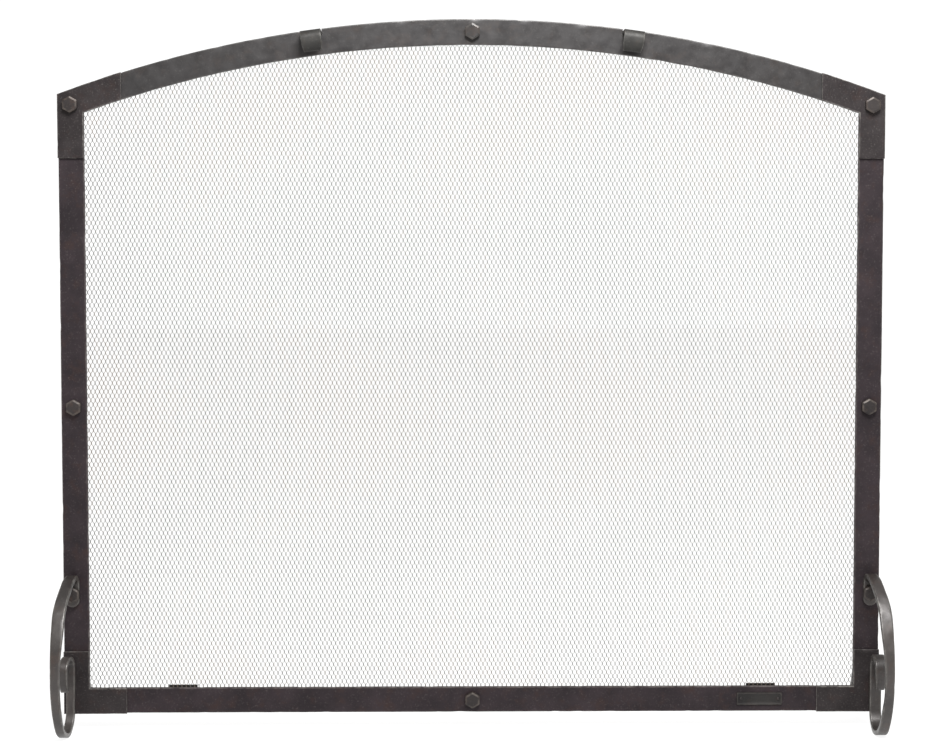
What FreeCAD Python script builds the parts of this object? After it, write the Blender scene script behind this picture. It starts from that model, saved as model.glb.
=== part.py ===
"""A free-standing fireplace screen: an arched frame of flat bar with a fine expanded-metal mesh
behind it, lapped corner plates, hex bolts, two lift handles, scroll feet in front and plain legs behind.

The frame is +Z up with its front towards -Y. The origin is on the floor, midway between the
screen's two sides and midway between the front of its scroll feet and the toes of its rear legs.
The front bars straddle Y = 0, and everything else is stacked in front of them or behind them.
"""

import FreeCAD, Part
import math
import os
import re

import Sketcher

DRIVING_SIZES = {
    # the arched frame
    "overall_width": 965.0,
    "overall_height": 835.0,
    "arch_rise": 88.0,
    "rail_clearance": 19.0,
    "bar_width": 30.0,
    "bar_thickness": 6.0,
    # the corner plates lapped over the frame's joints
    "plate_leg": 74.0,
    "plate_thickness": 3.0,
    "plate_proud": 0.5,
    # the mesh and the flat strips that clamp it
    "mesh_thickness": 1.0,
    "mesh_margin": 8.0,
    "retainer_width": 20.0,
    "retainer_thickness": 3.0,
    "clip_width": 35.0,
    "clip_height": 20.0,
    "clip_thickness": 2.0,
    "clip_offset": 344.0,
    "clip_peek": 1.6,
    # the fasteners
    "bolt_diameter": 10.0,
    "bolt_flats": 17.0,
    "bolt_head_height": 7.0,
    "bolt_chamfer_diameter": 16.0,
    "chamfer_angle": 30.0,
    "nut_height": 8.0,
    "thread_end": 2.0,
    "hole_clearance": 0.5,
    "cut_margin": 1.0,
    "mid_bolt_height": 382.0,
    "corner_bolt_inset": 15.0,
    "corner_bolt_drop": 17.5,
    "rivet_diameter": 6.0,
    "rivet_head_diameter": 11.0,
    "rivet_head_height": 3.0,
    "screw_diameter": 4.0,
    "screw_head_diameter": 8.0,
    "screw_head_height": 2.4,
    "screw_bite": 4.0,
    # the lift handles
    "handle_offset": 188.0,
    "handle_width": 24.5,
    "handle_tip_width": 15.0,
    "handle_thickness": 5.0,
    "handle_sink": 1.5,
    "handle_rear_leg": 18.0,
    "handle_rear_bend": 3.5,
    "handle_top_run": 27.0,
    "handle_front_bend": 7.0,
    "handle_front_drop": 4.0,
    "handle_curl_radius": 10.0,
    "handle_taper_start": 18.0,
    # the scroll feet: outer radii, from the lap on the stile round to the eye of the scroll
    "foot_height": 185.4,
    "foot_width": 11.0,
    "foot_thickness": 6.0,
    "foot_offset": 475.5,
    "lap_offset": 471.0,
    "lap_width": 17.0,
    "lap_bottom": 146.0,
    "foot_bolt_height": 161.5,
    "lap_bend_radius": 13.4,
    "crown_radius": 80.0,
    "front_radius": 136.0,
    "lower_radius": 92.0,
    "heel_radius": 28.0,
    "riser_height": 75.0,
    "eye_radius": 17.5,
    "tip_radius": 30.0,
    # the rear legs
    "leg_width": 18.0,
    "leg_thickness": 6.0,
    "leg_top": 181.0,
    "leg_lap": 50.0,
    "leg_bend_radius": 30.0,
    "toe_bend_radius": 16.0,
    # the blank badge plate
    "badge_width": 54.0,
    "badge_height": 15.0,
    "badge_thickness": 1.5,
    "badge_offset": 341.0,
    "badge_pin_pitch": 44.0,
    "pin_diameter": 2.0,
    "pin_head_diameter": 3.6,
    "pin_head_height": 1.0,
}

# How far the bent bars turn on each of their arcs, in degrees.
CROWN_TURN = 61.0
LOWER_TURN = 45.0
SOLE_TURN = 45.0
TIP_TURN = 55.0
HANDLE_CURL_TURN = 75.0
LEG_TURN = 31.0

# A height clear of the arch's crown, for boxes that a curve trims.
ABOVE_ARCH = "overall_height + bar_width"

# Ends of a sketch's lines and arcs that are closer than this, in millimetres, are one corner.
TOUCHING = 1e-6

LEFT, RIGHT = -1, 1
SIDE_NAMES = {LEFT: "left", RIGHT: "right"}

doc = FreeCAD.newDocument("FireplaceScreen")
sheet = doc.addObject("Spreadsheet::Sheet", "Sizes")
size = dict(DRIVING_SIZES)
sub_parts = []


def derive_sizes():
    """Adds the sizes that follow from the driving ones."""
    size["half_width"] = size["overall_width"] / 2
    size["arch_radius"] = (size["half_width"] ** 2 + size["arch_rise"] ** 2) / (2 * size["arch_rise"])
    size["arch_centre_height"] = size["overall_height"] - size["arch_radius"]
    size["bar_front"] = -size["bar_thickness"] / 2
    size["bar_back"] = size["bar_thickness"] / 2
    size["mesh_back"] = size["bar_back"] + size["mesh_thickness"]
    size["retainer_back"] = size["mesh_back"] + size["retainer_thickness"]
    size["rail_top"] = size["rail_clearance"] + size["bar_width"]
    size["rail_middle"] = size["rail_clearance"] + size["bar_width"] / 2
    size["stile_middle"] = size["half_width"] - size["bar_width"] / 2
    size["crown_bolt_height"] = size["overall_height"] - size["bar_width"] / 2
    size["corner_bolt_offset"] = size["half_width"] - size["corner_bolt_inset"]
    size["corner_bolt_height"] = arch_height(size["corner_bolt_offset"]) - size["corner_bolt_drop"]
    size["hole_diameter"] = size["bolt_diameter"] + size["hole_clearance"]
    size["rivet_hole"] = size["rivet_diameter"] + size["hole_clearance"]
    size["screw_hole"] = size["screw_diameter"] + size["hole_clearance"]
    size["pin_hole"] = size["pin_diameter"] + size["hole_clearance"]
    size["clip_top"] = size["rail_top"] + size["clip_peek"]
    size["handle_tilt"] = math.degrees(math.asin(size["handle_offset"] / size["arch_radius"]))
    size["handle_height"] = arch_height(size["handle_offset"])
    size["notch_depth"] = size["handle_sink"] + size["handle_thickness"] + size["hole_clearance"]
    size["sole_radius"] = lower_arc_end() / (1 - cosine(SOLE_TURN))
    size["foot_reach"] = (
        size["lap_bend_radius"]
        + size["crown_radius"] * sine(CROWN_TURN)
        + size["front_radius"] * (1 - sine(CROWN_TURN))
    )
    size["toe_end"] = size["foot_reach"] - size["bar_front"]


def lower_arc_end():
    """Height at which the foot's lower arc hands over to its sole, which is tangent to the floor."""
    below_crown = size["foot_height"] - size["crown_radius"] * (1 - cosine(CROWN_TURN))
    return below_crown - size["front_radius"] * cosine(CROWN_TURN) - size["lower_radius"] * sine(LOWER_TURN)


def sine(degrees):
    return math.sin(math.radians(degrees))


def cosine(degrees):
    return math.cos(math.radians(degrees))


def arch_height(across):
    """Height of the arch's outer edge at a distance from the middle of the screen."""
    return size["overall_height"] - size["arch_radius"] + math.sqrt(size["arch_radius"] ** 2 - across**2)


def fill_sheet():
    for row, (alias, value) in enumerate(size.items(), start=1):
        sheet.set(f"A{row}", alias.replace("_", " "))
        sheet.set(f"B{row}", repr(float(value)))
        sheet.setAlias(f"B{row}", alias)


def bind(item, **properties):
    """Binds properties to formulas in which every word with an underscore is a cell of the sheet."""
    for path, formula in properties.items():
        formula = re.sub(r"\b[a-z]+(?:_[a-z]+)+\b", r"Sizes.\g<0>", str(formula))
        item.setExpression(path.replace("__", "."), formula)
    return item


def finish(item, label):
    """Marks an object as a finished sub-part, whose label names its file."""
    item.Label = label
    sub_parts.append(item)
    return item


# ---------------------------------------------------------------- plain solids


def box(span_x, span_y, span_z):
    """A box between two formulas along each axis."""
    item = doc.addObject("Part::Box", "Box")
    (x0, x1), (y0, y1), (z0, z1) = span_x, span_y, span_z
    bind(item, Length=f"({x1}) - ({x0})", Width=f"({y1}) - ({y0})", Height=f"({z1}) - ({z0})")
    return bind(item, Placement__Base__x=x0, Placement__Base__y=y0, Placement__Base__z=z0)


def rod(x, z, diameter, y0, y1):
    """A cylinder that runs from y0 back to y1."""
    item = doc.addObject("Part::Cylinder", "Rod")
    item.Placement.Rotation = FreeCAD.Rotation(FreeCAD.Vector(1, 0, 0), -90)
    bind(item, Radius=f"({diameter}) / 2", Height=f"({y1}) - ({y0})")
    return bind(item, Placement__Base__x=x, Placement__Base__y=y0, Placement__Base__z=z)


def boolean(kind, base, tool):
    item = doc.addObject(f"Part::{kind}", kind)
    item.Base = base
    item.Tool = tool
    return item


def fuse(items):
    item = doc.addObject("Part::MultiFuse", "Fuse")
    item.Shapes = items
    return item


def arch_disc(inset, y0, y1):
    """A thick disc whose rim is the arch's outer edge moved in by inset."""
    return rod(0, "arch_centre_height", f"2 * (arch_radius - ({inset}))", y0, y1)


def arch_ring(outer_inset, inner_inset, y0, y1):
    return boolean("Cut", arch_disc(outer_inset, y0, y1), arch_disc(inner_inset, y0, y1))


def across(side, inner, outer):
    """A span along X from the inner to the outer formula, on the left or the right."""
    if side == RIGHT:
        return f"{inner}", f"{outer}"
    return f"-({outer})", f"-({inner})"


def drilled(item, places, diameter, y0, y1):
    """Cuts a hole from y0 to y1 through the item at each (x, z) place."""
    holes = [rod(x, z, diameter, f"{y0} - cut_margin", f"{y1} + cut_margin") for x, z in places]
    return boolean("Cut", item, fuse(holes) if len(holes) > 1 else holes[0])


# ---------------------------------------------------------------- where things are fastened

CROWN_BOLT = ("0", "crown_bolt_height")
RAIL_BOLT = ("0", "rail_middle")


def mid_bolt(side):
    return f"{side} * stile_middle", "mid_bolt_height"


def corner_bolt(side):
    return f"{side} * corner_bolt_offset", "corner_bolt_height"


def foot_bolt(side):
    return f"{side} * lap_offset", "foot_bolt_height"


def handle_rivet(side):
    """The rivet is on the arch bar's centre line, along the radius that the handle stands on."""
    reach = "(arch_radius - bar_width / 2)"
    x = f"{side} * {reach} * handle_offset / arch_radius"
    z = f"arch_centre_height + {reach} * cos(handle_tilt * 1 deg)"
    return x, z


def clip_screw(side):
    return f"{side} * clip_offset", "rail_middle"


def badge_pins():
    return [(f"badge_offset + {end} * badge_pin_pitch / 2", "rail_middle") for end in (LEFT, RIGHT)]


# ---------------------------------------------------------------- the arched frame


def handle_notches():
    """The slots in the arch's top edge that let the handle straps pass over it flush."""
    base = "(arch_radius - notch_depth)"
    half = "(handle_width + hole_clearance) / 2"
    tilt = "handle_tilt * 1 deg"
    notches = []
    for side in (LEFT, RIGHT):
        notch = doc.addObject("Part::Box", "Notch")
        notch.Placement.Rotation = FreeCAD.Rotation(FreeCAD.Vector(0, 1, 0), side * size["handle_tilt"])
        # The box is turned about its own corner, so the corner is found from the middle of its base.
        bind(
            notch,
            Length=f"2 * {half}",
            Width="bar_thickness + 2 * cut_margin",
            Height="2 * notch_depth",
            Placement__Base__x=f"{side} * {base} * sin({tilt}) - {half} * cos({tilt})",
            Placement__Base__y="bar_front - cut_margin",
            Placement__Base__z=f"arch_centre_height + {base} * cos({tilt}) + {side} * {half} * sin({tilt})",
        )
        notches.append(notch)
    return fuse(notches)


def arch_bar():
    front, back = "bar_front", "bar_back"
    ring = arch_ring("0", "bar_width", front, back)
    upper = box(("-half_width", "half_width"), (front, back), ("mid_bolt_height", ABOVE_ARCH))
    bar = boolean("Cut", boolean("Common", ring, upper), handle_notches())
    bolts = [CROWN_BOLT, corner_bolt(LEFT), corner_bolt(RIGHT)]
    bar = drilled(bar, bolts, "hole_diameter", front, back)
    bar = drilled(bar, [handle_rivet(LEFT), handle_rivet(RIGHT)], "rivet_hole", front, back)
    finish(bar, "arch_bar")


def stile(side):
    """An upright, which butts against the underside of the arch bar."""
    bar = box(
        across(side, "half_width - bar_width", "half_width"),
        ("bar_front", "bar_back"),
        ("rail_clearance", ABOVE_ARCH),
    )
    bar = boolean("Common", bar, arch_disc("bar_width", "bar_front", "bar_back"))
    places = [mid_bolt(side), foot_bolt(side)]
    finish(drilled(bar, places, "hole_diameter", "bar_front", "bar_back"), f"{SIDE_NAMES[side]}_stile")


def bottom_rail():
    inner = "half_width - bar_width"
    front, back = "bar_front", "bar_back"
    bar = box((f"-({inner})", inner), (front, back), ("rail_clearance", "rail_top"))
    bar = drilled(bar, [RAIL_BOLT], "hole_diameter", front, back)
    bar = drilled(bar, badge_pins(), "pin_hole", front, back)
    # Blind holes from behind, into which the clip screws bite.
    for side in (LEFT, RIGHT):
        blind_hole = rod(*clip_screw(side), "screw_hole", "bar_back - screw_bite", "bar_back + cut_margin")
        bar = boolean("Cut", bar, blind_hole)
    finish(bar, "bottom_rail")


def top_corner_plate(side):
    front, back = "bar_front - plate_thickness", "bar_front"
    outer = "half_width + plate_proud"
    ring = arch_ring("-plate_proud", "bar_width", front, back)
    arch_leg = across(side, "half_width - plate_leg", outer)
    along_arch = boolean("Common", ring, box(arch_leg, (front, back), ("mid_bolt_height", ABOVE_ARCH)))
    stile_top = box(
        across(side, "half_width - bar_width", outer),
        (front, back),
        ("overall_height - arch_rise - plate_leg", ABOVE_ARCH),
    )
    # The stile's leg ends inside the arch's leg, so the two fuse.
    down_stile = boolean("Common", stile_top, arch_disc("bar_width / 2", front, back))
    plate = drilled(fuse([along_arch, down_stile]), [corner_bolt(side)], "hole_diameter", front, back)
    finish(plate, f"top_{SIDE_NAMES[side]}_corner_plate")


def bottom_corner_plate(side):
    front, back = "bar_front - plate_thickness", "bar_front"
    bottom = "rail_clearance - plate_proud"
    outer = "half_width + plate_proud"
    along_rail = box(across(side, "half_width - plate_leg", outer), (front, back), (bottom, "rail_top"))
    leg = across(side, "half_width - bar_width", outer)
    up_stile = box(leg, (front, back), (bottom, "rail_clearance + plate_leg"))
    finish(fuse([along_rail, up_stile]), f"bottom_{SIDE_NAMES[side]}_corner_plate")


# ---------------------------------------------------------------- the mesh and what clamps it


def mesh_panel():
    """The mesh's outer shape as one thin closed sheet, with the holes its fasteners pass through."""
    edge = "half_width - mesh_margin"
    front, back = "bar_back", "mesh_back"
    blank = box((f"-({edge})", edge), (front, back), ("rail_clearance + mesh_margin", ABOVE_ARCH))
    panel = boolean("Common", blank, arch_disc("mesh_margin", front, back))
    bolts, small = [CROWN_BOLT, RAIL_BOLT], []
    for side in (LEFT, RIGHT):
        bolts += [mid_bolt(side), corner_bolt(side), foot_bolt(side)]
        small += [handle_rivet(side), clip_screw(side)]
    panel = drilled(panel, bolts, "hole_diameter", front, back)
    finish(drilled(panel, small, "rivet_hole", front, back), "mesh_panel")


def arch_retainer():
    edge = "half_width - mesh_margin"
    front, back = "mesh_back", "retainer_back"
    ring = arch_ring("mesh_margin", "mesh_margin + retainer_width", front, back)
    upper = box((f"-({edge})", edge), (front, back), ("mid_bolt_height", ABOVE_ARCH))
    strip = boolean("Common", ring, upper)
    bolts = [CROWN_BOLT, corner_bolt(LEFT), corner_bolt(RIGHT)]
    strip = drilled(strip, bolts, "hole_diameter", front, back)
    strip = drilled(strip, [handle_rivet(LEFT), handle_rivet(RIGHT)], "rivet_hole", front, back)
    finish(strip, "arch_mesh_retainer")


def side_retainer(side):
    outer = "half_width - mesh_margin"
    front, back = "mesh_back", "retainer_back"
    span = across(side, f"{outer} - retainer_width", outer)
    strip = box(span, (front, back), ("rail_clearance + mesh_margin", ABOVE_ARCH))
    strip = boolean("Common", strip, arch_disc("mesh_margin + retainer_width", front, back))
    strip = drilled(strip, [mid_bolt(side), foot_bolt(side)], "hole_diameter", front, back)
    finish(strip, f"{SIDE_NAMES[side]}_mesh_retainer")


def bottom_retainer():
    edge = "half_width - mesh_margin - retainer_width"
    bottom = "rail_clearance + mesh_margin"
    front, back = "mesh_back", "retainer_back"
    strip = box((f"-({edge})", edge), (front, back), (bottom, f"{bottom} + retainer_width"))
    strip = drilled(strip, [RAIL_BOLT], "hole_diameter", front, back)
    strip = drilled(strip, [clip_screw(LEFT), clip_screw(RIGHT)], "screw_hole", front, back)
    finish(strip, "bottom_mesh_retainer")


def mesh_clip(side):
    """A short tab over the bottom retainer, whose top edge shows just above the rail."""
    back = "retainer_back + clip_thickness"
    tab = box(
        across(side, "clip_offset - clip_width / 2", "clip_offset + clip_width / 2"),
        ("retainer_back", back),
        ("clip_top - clip_height", "clip_top"),
    )
    tab = drilled(tab, [clip_screw(side)], "screw_hole", "retainer_back", back)
    finish(tab, f"{SIDE_NAMES[side]}_mesh_clip")


# ---------------------------------------------------------------- fasteners

# Turns a primitive's own axis towards the front or the rear of the screen.
TO_FRONT = FreeCAD.Rotation(FreeCAD.Vector(1, 0, 0), 90)
TO_REAR = FreeCAD.Rotation(FreeCAD.Vector(1, 0, 0), -90)


def placed(kind, place, seat, facing, **properties):
    """A primitive whose base is at the seat formula along Y and whose axis faces front or rear."""
    item = doc.addObject(kind, "Primitive")
    item.Placement.Rotation = facing
    x, z = place
    bind(item, **properties)
    return bind(item, Placement__Base__x=x, Placement__Base__y=seat, Placement__Base__z=z)


def hexagon(place, seat, facing, height):
    """A hexagonal prism with a corner at the top, chamfered at the end away from its seat."""
    corner_up = FreeCAD.Rotation(FreeCAD.Vector(0, 0, 1), 30)
    prism = placed("Part::Prism", place, seat, facing * corner_up, Height=height)
    bind(prism, Circumradius="bolt_flats / sqrt(3)")
    prism.Polygon = 6
    # A wide cone trims the corners of the free end at the chamfer's angle.
    cone = placed("Part::Cone", place, seat, facing, Height=height)
    bind(cone, Radius2="bolt_chamfer_diameter / 2")
    bind(cone, Radius1=f"bolt_chamfer_diameter / 2 + {height} / tan(chamfer_angle * 1 deg)")
    return boolean("Common", prism, cone)


def dome(place, seat, facing, diameter, height):
    """A round head: the half of an ellipsoid that is beyond its seat."""
    item = placed("Part::Ellipsoid", place, seat, facing, Radius1=height)
    bind(item, Radius2=f"{diameter} / 2", Radius3=f"{diameter} / 2")
    item.Angle1 = 0
    return item


def bolt_and_nut(place, front, back, name):
    """A hex bolt whose head bears on the front formula and whose nut bears on the back one."""
    head = hexagon(place, front, TO_FRONT, "bolt_head_height")
    shank_end = f"{back} + nut_height + thread_end"
    shank = rod(*place, "bolt_diameter", f"{front} - bolt_head_height / 2", shank_end)
    finish(fuse([head, shank]), f"{name}_bolt")
    blank = hexagon(place, back, TO_REAR, "nut_height")
    finish(drilled(blank, [place], "hole_diameter", back, f"{back} + nut_height"), f"{name}_nut")


def bolts_and_nuts():
    plate_front = "bar_front - plate_thickness"
    lap_front = "bar_front - foot_thickness"
    leg_back = "retainer_back + leg_thickness"
    bolt_and_nut(CROWN_BOLT, "bar_front", "retainer_back", "crown")
    bolt_and_nut(RAIL_BOLT, "bar_front", "retainer_back", "bottom_rail")
    for side, name in SIDE_NAMES.items():
        bolt_and_nut(corner_bolt(side), plate_front, "retainer_back", f"{name}_corner")
        bolt_and_nut(mid_bolt(side), "bar_front", "retainer_back", f"{name}_middle")
        bolt_and_nut(foot_bolt(side), lap_front, leg_back, f"{name}_foot")


def handle_rivet_piece(side):
    """Filed flush with the front of the arch bar, with a round head behind the handle strap."""
    place = handle_rivet(side)
    seat = "retainer_back + handle_thickness"
    shank = rod(*place, "rivet_diameter", "bar_front", f"{seat} + rivet_head_height / 4")
    head = dome(place, seat, TO_REAR, "rivet_head_diameter", "rivet_head_height")
    finish(fuse([shank, head]), f"{SIDE_NAMES[side]}_handle_rivet")


def clip_screw_piece(side):
    place = clip_screw(side)
    seat = "retainer_back + clip_thickness"
    tip = "bar_back - screw_bite + hole_clearance"
    shank = rod(*place, "screw_diameter", tip, f"{seat} + screw_head_height / 4")
    head = dome(place, seat, TO_REAR, "screw_head_diameter", "screw_head_height")
    finish(fuse([shank, head]), f"{SIDE_NAMES[side]}_clip_screw")


def badge():
    """A blank plate on the rail's face, held by two round-headed pins, which are one group."""
    front = "bar_front - badge_thickness"
    plate = box(
        ("badge_offset - badge_width / 2", "badge_offset + badge_width / 2"),
        (front, "bar_front"),
        ("rail_middle - badge_height / 2", "rail_middle + badge_height / 2"),
    )
    finish(drilled(plate, badge_pins(), "pin_hole", front, "bar_front"), "blank_badge_plate")
    pins = []
    for place in badge_pins():
        shank = rod(*place, "pin_diameter", f"{front} - pin_head_height / 4", "bar_back")
        head = dome(place, front, TO_FRONT, "pin_head_diameter", "pin_head_height")
        pins.append(fuse([shank, head]))
    group = doc.addObject("Part::Compound", "Pins")
    group.Links = pins
    finish(group, "badge_pins")


# ---------------------------------------------------------------- bent flat bar

# A bent bar is a chain of runs along its middle line. Each run is (length, 0) for a straight
# stretch or (radius, turn) for an arc, where a turn is in degrees and positive to the left.


def bent_outline(start, heading, runs, thickness):
    """The closed outline of a bar of one thickness bent along its middle line, as sketch geometry."""
    sides = {LEFT: [], RIGHT: []}
    point = FreeCAD.Vector(start[0], start[1], 0)
    heading = math.radians(heading)
    corners = {side: point + normal(heading) * (-side * thickness / 2) for side in sides}
    ends = [dict(corners)]
    for reach, turn in runs:
        if turn == 0:
            step = FreeCAD.Vector(math.cos(heading), math.sin(heading), 0) * reach
            point = point + step
            for side in sides:
                sides[side].append(Part.LineSegment(corners[side], corners[side] + step))
                corners[side] = corners[side] + step
            continue
        bend = math.copysign(1, turn)
        centre = point + normal(heading) * (bend * reach)
        turned = heading + math.radians(turn)
        for side in sides:
            circle = Part.Circle(centre, FreeCAD.Vector(0, 0, 1), reach + side * bend * thickness / 2)
            first, last = (angle - bend * math.pi / 2 for angle in (heading, turned))
            sides[side].append(Part.ArcOfCircle(circle, min(first, last), max(first, last)))
            corners[side] = centre - normal(turned) * (bend * circle.Radius)
        point = centre - normal(turned) * (bend * reach)
        heading = turned
    ends.append(dict(corners))
    caps = [Part.LineSegment(end[LEFT], end[RIGHT]) for end in ends]
    return sides[LEFT] + sides[RIGHT] + caps


def normal(heading):
    """The unit vector to the left of a heading."""
    return FreeCAD.Vector(-math.sin(heading), math.cos(heading), 0)


def origin_plane(body, role):
    return next(plane for plane in body.Origin.OriginFeatures if plane.Role == role)


def sketch_on(body, role, name, geometry):
    sketch = body.newObject("Sketcher::SketchObject", name)
    sketch.AttachmentSupport = [(origin_plane(body, role), "")]
    sketch.MapMode = "FlatFace"
    sketch.addGeometry(geometry, False)
    return sketch


def join_corners(sketch):
    """Ties the ends of the sketch's lines and arcs that meet."""
    ends = []
    for number, item in enumerate(sketch.Geometry):
        for which, point in ((1, item.StartPoint), (2, item.EndPoint)):
            for other, place, there in ends:
                if other != number and point.distanceToPoint(there) < TOUCHING:
                    sketch.addConstraint(Sketcher.Constraint("Coincident", other, place, number, which))
            ends.append((number, which, point))


def bent_bar(label, start, heading, runs, thickness, width, offset):
    """A body padded across the screen from a bent bar's outline in the plane of Y and Z."""
    body = doc.addObject("PartDesign::Body", label.title().replace("_", ""))
    outline = bent_outline(start, heading, runs, size[thickness])
    sketch = sketch_on(body, "YZ_Plane", "Outline", outline)
    join_corners(sketch)
    bind(sketch, AttachmentOffset__Base__z=offset)
    pad = body.newObject("PartDesign::Pad", "Pad")
    pad.Profile = sketch
    pad.Midplane = True
    bind(pad, Length=width)
    return body


# ---------------------------------------------------------------- feet, legs and handles


def scroll_foot(side):
    """A flat bar bolted to the stile, bent over at its top and scrolled forward down to the floor."""
    half = size["foot_thickness"] / 2
    lap_start = size["lap_bottom"] + size["lap_width"] / 2
    lap_end = size["foot_height"] - size["lap_bend_radius"]
    runs = [
        (lap_end - lap_start, 0),
        (size["lap_bend_radius"] - half, 90),
        (size["crown_radius"] - half, CROWN_TURN),
        (size["front_radius"] - half, 90 - CROWN_TURN),
        (size["lower_radius"] - half, LOWER_TURN),
        (size["sole_radius"] - half, SOLE_TURN),
        (size["heel_radius"] - half, 90),
        (size["riser_height"] - size["heel_radius"], 0),
        (size["eye_radius"] - half, 180),
        (size["tip_radius"] - half, TIP_TURN),
    ]
    start = (size["bar_front"] - half, lap_start)
    name = f"{SIDE_NAMES[side]}_scroll_foot"
    scroll = bent_bar(name, start, 90, runs, "foot_thickness", "foot_width", f"{side} * foot_offset")
    # The bar is forged wider where the bolt goes through it, with a round end.
    lap_front = "bar_front - foot_thickness"
    round_middle = "lap_bottom + lap_width / 2"
    tab = box(
        across(side, "lap_offset - lap_width / 2", "lap_offset + lap_width / 2"),
        (lap_front, "bar_front"),
        (round_middle, "foot_height - lap_bend_radius"),
    )
    round_end = rod(f"{side} * lap_offset", round_middle, "lap_width", lap_front, "bar_front")
    foot = fuse([scroll, tab, round_end])
    finish(drilled(foot, [foot_bolt(side)], "hole_diameter", lap_front, "bar_front"), name)


def rear_leg(side):
    """A flat bar bolted behind the stile, which slopes back to a short toe on the floor."""
    half = size["leg_thickness"] / 2
    start = (size["retainer_back"] + half, size["leg_top"])
    toe_turn = 90 - LEG_TURN
    bend, toe_bend = size["leg_bend_radius"], size["toe_bend_radius"]
    drop = size["leg_top"] - size["leg_lap"] - half
    slope = (drop - bend * sine(LEG_TURN) - toe_bend * (1 - cosine(toe_turn))) / cosine(LEG_TURN)
    back = start[0] + bend * (1 - cosine(LEG_TURN)) + slope * sine(LEG_TURN) + toe_bend * sine(toe_turn)
    runs = [
        (size["leg_lap"], 0),
        (bend, LEG_TURN),
        (slope, 0),
        (toe_bend, toe_turn),
        (size["toe_end"] - back, 0),
    ]
    name = f"{SIDE_NAMES[side]}_rear_leg"
    leg = bent_bar(name, start, -90, runs, "leg_thickness", "leg_width", f"{side} * lap_offset")
    back = "retainer_back + leg_thickness"
    finish(drilled(leg, [foot_bolt(side)], "hole_diameter", "retainer_back", back), name)


def lift_handle(side):
    """A strap riveted behind the arch bar, which passes over it and curls down in front of it.

    It is drawn upright with the arch's outer edge at Z = 0, then stood on the arch's radius.
    """
    half = size["handle_thickness"] / 2
    top = -size["handle_sink"] - half
    start = (size["retainer_back"] + half, top - size["handle_rear_bend"] - size["handle_rear_leg"])
    runs = [
        (size["handle_rear_leg"], 0),
        (size["handle_rear_bend"], 90),
        (size["handle_top_run"], 0),
        (size["handle_front_bend"], 90),
        (size["handle_front_drop"], 0),
        (size["handle_curl_radius"], HANDLE_CURL_TURN),
    ]
    name = f"{SIDE_NAMES[side]}_lift_handle"
    body = bent_bar(name, start, 90, runs, "handle_thickness", "handle_width", "0")
    taper_tip(body)
    body.Placement.Rotation = FreeCAD.Rotation(FreeCAD.Vector(0, 1, 0), side * size["handle_tilt"])
    bind(body, Placement__Base__x=f"{side} * handle_offset", Placement__Base__z="handle_height")
    strap_back = "retainer_back + handle_thickness"
    strap = drilled(body, [handle_rivet(side)], "rivet_hole", "retainer_back", strap_back)
    finish(strap, name)


def taper_tip(body):
    """Narrows the lower end of an upright strap evenly on both edges."""
    edge, tip = size["handle_width"] / 2, size["handle_tip_width"] / 2
    taper_top, below = -size["handle_taper_start"], -2 * size["handle_taper_start"]
    triangles = []
    for side in (LEFT, RIGHT):
        corners = [(edge, taper_top), (tip, below), (edge, below)]
        points = [FreeCAD.Vector(side * across_strap, height, 0) for across_strap, height in corners]
        triangles += [Part.LineSegment(a, b) for a, b in zip(points, points[1:] + points[:1])]
    sketch = sketch_on(body, "XZ_Plane", "Taper", triangles)
    join_corners(sketch)
    pocket = body.newObject("PartDesign::Pocket", "TaperCut")
    pocket.Profile = sketch
    pocket.Type = "ThroughAll"
    pocket.Midplane = True


# ---------------------------------------------------------------- the whole screen


def build():
    derive_sizes()
    fill_sheet()
    doc.recompute()
    arch_bar()
    bottom_rail()
    mesh_panel()
    arch_retainer()
    bottom_retainer()
    for side in (LEFT, RIGHT):
        stile(side)
        top_corner_plate(side)
        bottom_corner_plate(side)
        side_retainer(side)
        mesh_clip(side)
        clip_screw_piece(side)
        lift_handle(side)
        handle_rivet_piece(side)
        scroll_foot(side)
        rear_leg(side)
    bolts_and_nuts()
    badge()
    doc.recompute()


def check():
    """Stops before anything is written if the document holds a fault."""
    for item in doc.Objects:
        faults = {"Invalid", "Error"} & set(item.State)
        if faults:
            raise RuntimeError(f"{item.Label} is {sorted(faults)}: {item.getStatusString()}")
    for item in sub_parts:
        if item.Shape.isNull() or not item.Shape.isValid() or item.Shape.Volume <= 0:
            raise RuntimeError(f"{item.Label} has no valid solid")


def write():
    os.makedirs("parts", exist_ok=True)
    for item in sub_parts:
        item.Shape.exportStep(f"parts/{item.Label}.step")
        print(f"{item.Label}: {len(item.Shape.Solids)} solid(s), {item.Shape.Volume / 1000:.2f} cm3")


build()
check()
write()
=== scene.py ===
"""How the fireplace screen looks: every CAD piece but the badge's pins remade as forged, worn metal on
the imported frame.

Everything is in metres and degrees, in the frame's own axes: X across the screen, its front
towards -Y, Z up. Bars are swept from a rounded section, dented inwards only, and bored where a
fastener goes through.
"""

import math

import bmesh
import bpy
import numpy as np
from mathutils import Matrix, Vector, noise


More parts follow.
